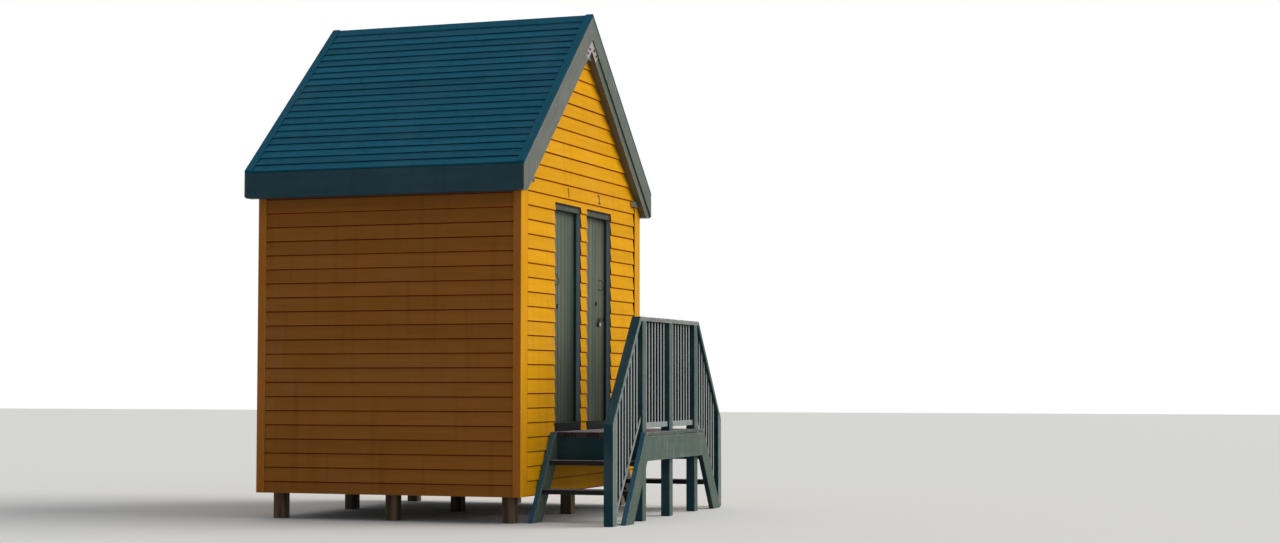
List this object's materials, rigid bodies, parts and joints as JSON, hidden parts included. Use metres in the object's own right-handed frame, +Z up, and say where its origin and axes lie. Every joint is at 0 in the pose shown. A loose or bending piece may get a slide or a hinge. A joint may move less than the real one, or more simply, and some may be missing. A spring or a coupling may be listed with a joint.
{
  "type": "beach hut",
  "caption": "Timber beach hut on stilts with a gabled board roof, inward doors and a landing with steps to both sides.",
  "frame": {"origin": "centre of the bounding box on the ground", "axes": "+Z up, -Y out of the front with the doors, +X to the right as seen from the front"},
  "size_m": [3.188, 3.365, 4.44],
  "materials": {
    "wall_paint": "yellow gloss paint, weathered",
    "door_paint": "grey-green paint",
    "frame_paint": "dark blue-green paint",
    "roof_paint": "teal paint on boards",
    "barge_paint": "pale grey-green paint",
    "eave_paint": "dark teal paint",
    "stair_paint": "grey-green paint, worn at the edges",
    "deck_boards": "bare weathered timber",
    "timber": "bare structural timber",
    "zinc_plate": "galvanised plate",
    "black_iron": "black painted iron",
    "lock_brass": "dull brass"
  },
  "bodies": {
    "hut": {"stilts": "timber", "bearers": "timber", "floor_joists": "timber", "floor": "deck_boards", "front_wall_left": "wall_paint", "front_wall_right": "wall_paint", "front_wall_middle": "wall_paint", "front_skirt": "wall_paint", "front_gable": "wall_paint", "back_wall": "wall_paint", "left_wall": "wall_paint", "right_wall": "wall_paint", "front_corner_boards": "wall_paint", "back_corner_boards": "wall_paint", "roof_left": "roof_paint", "roof_right": "roof_paint", "ridge_cap": "roof_paint", "ridge_board": "timber", "rafters": "timber", "plate_ends": "barge_paint", "left_barge_boards": "barge_paint", "right_barge_boards": "barge_paint", "left_inner_barge_boards": "barge_paint", "right_inner_barge_boards": "barge_paint", "left_verge_strips": "roof_paint", "right_verge_strips": "roof_paint", "eave_fascias": "eave_paint", "soffits": "eave_paint", "apex_plates": "zinc_plate", "left_door_frame": "frame_paint", "right_door_frame": "frame_paint", "left_frame_hinges": "black_iron", "right_frame_hinges": "black_iron", "landing_posts": "stair_paint", "landing_deck": "deck_boards", "landing_fascia": "stair_paint", "landing_ledger": "stair_paint", "landing_joists": "stair_paint", "landing_end_boards": "stair_paint", "left_stringers": "stair_paint", "right_stringers": "stair_paint", "left_treads": "deck_boards", "right_treads": "deck_boards", "top_handrail": "stair_paint", "newels": "stair_paint", "left_handrail": "stair_paint", "right_handrail": "stair_paint", "left_bay_balusters": "stair_paint", "right_bay_balusters": "stair_paint", "left_flight_balusters": "stair_paint", "right_flight_balusters": "stair_paint"},
    "left_door": {"left_door": "door_paint", "left_door_straps": "black_iron", "left_door_pull": "black_iron"},
    "right_door": {"right_door": "door_paint", "right_door_straps": "black_iron", "right_door_pull": "black_iron", "hasp": "zinc_plate", "padlock": "lock_brass"}
  },
  "joints": [
    {"name": "left_door_hinge", "type": "hinge", "parent": "hut", "child": "left_door", "pos_m": [-0.0555, -0.7095, 1.7], "axis": [0, 0, -1], "range_deg": [0, 90]},
    {"name": "right_door_hinge", "type": "hinge", "parent": "hut", "child": "right_door", "pos_m": [0.0555, -0.7095, 1.7], "axis": [0, 0, 1], "range_deg": [0, 90]}
  ]
}
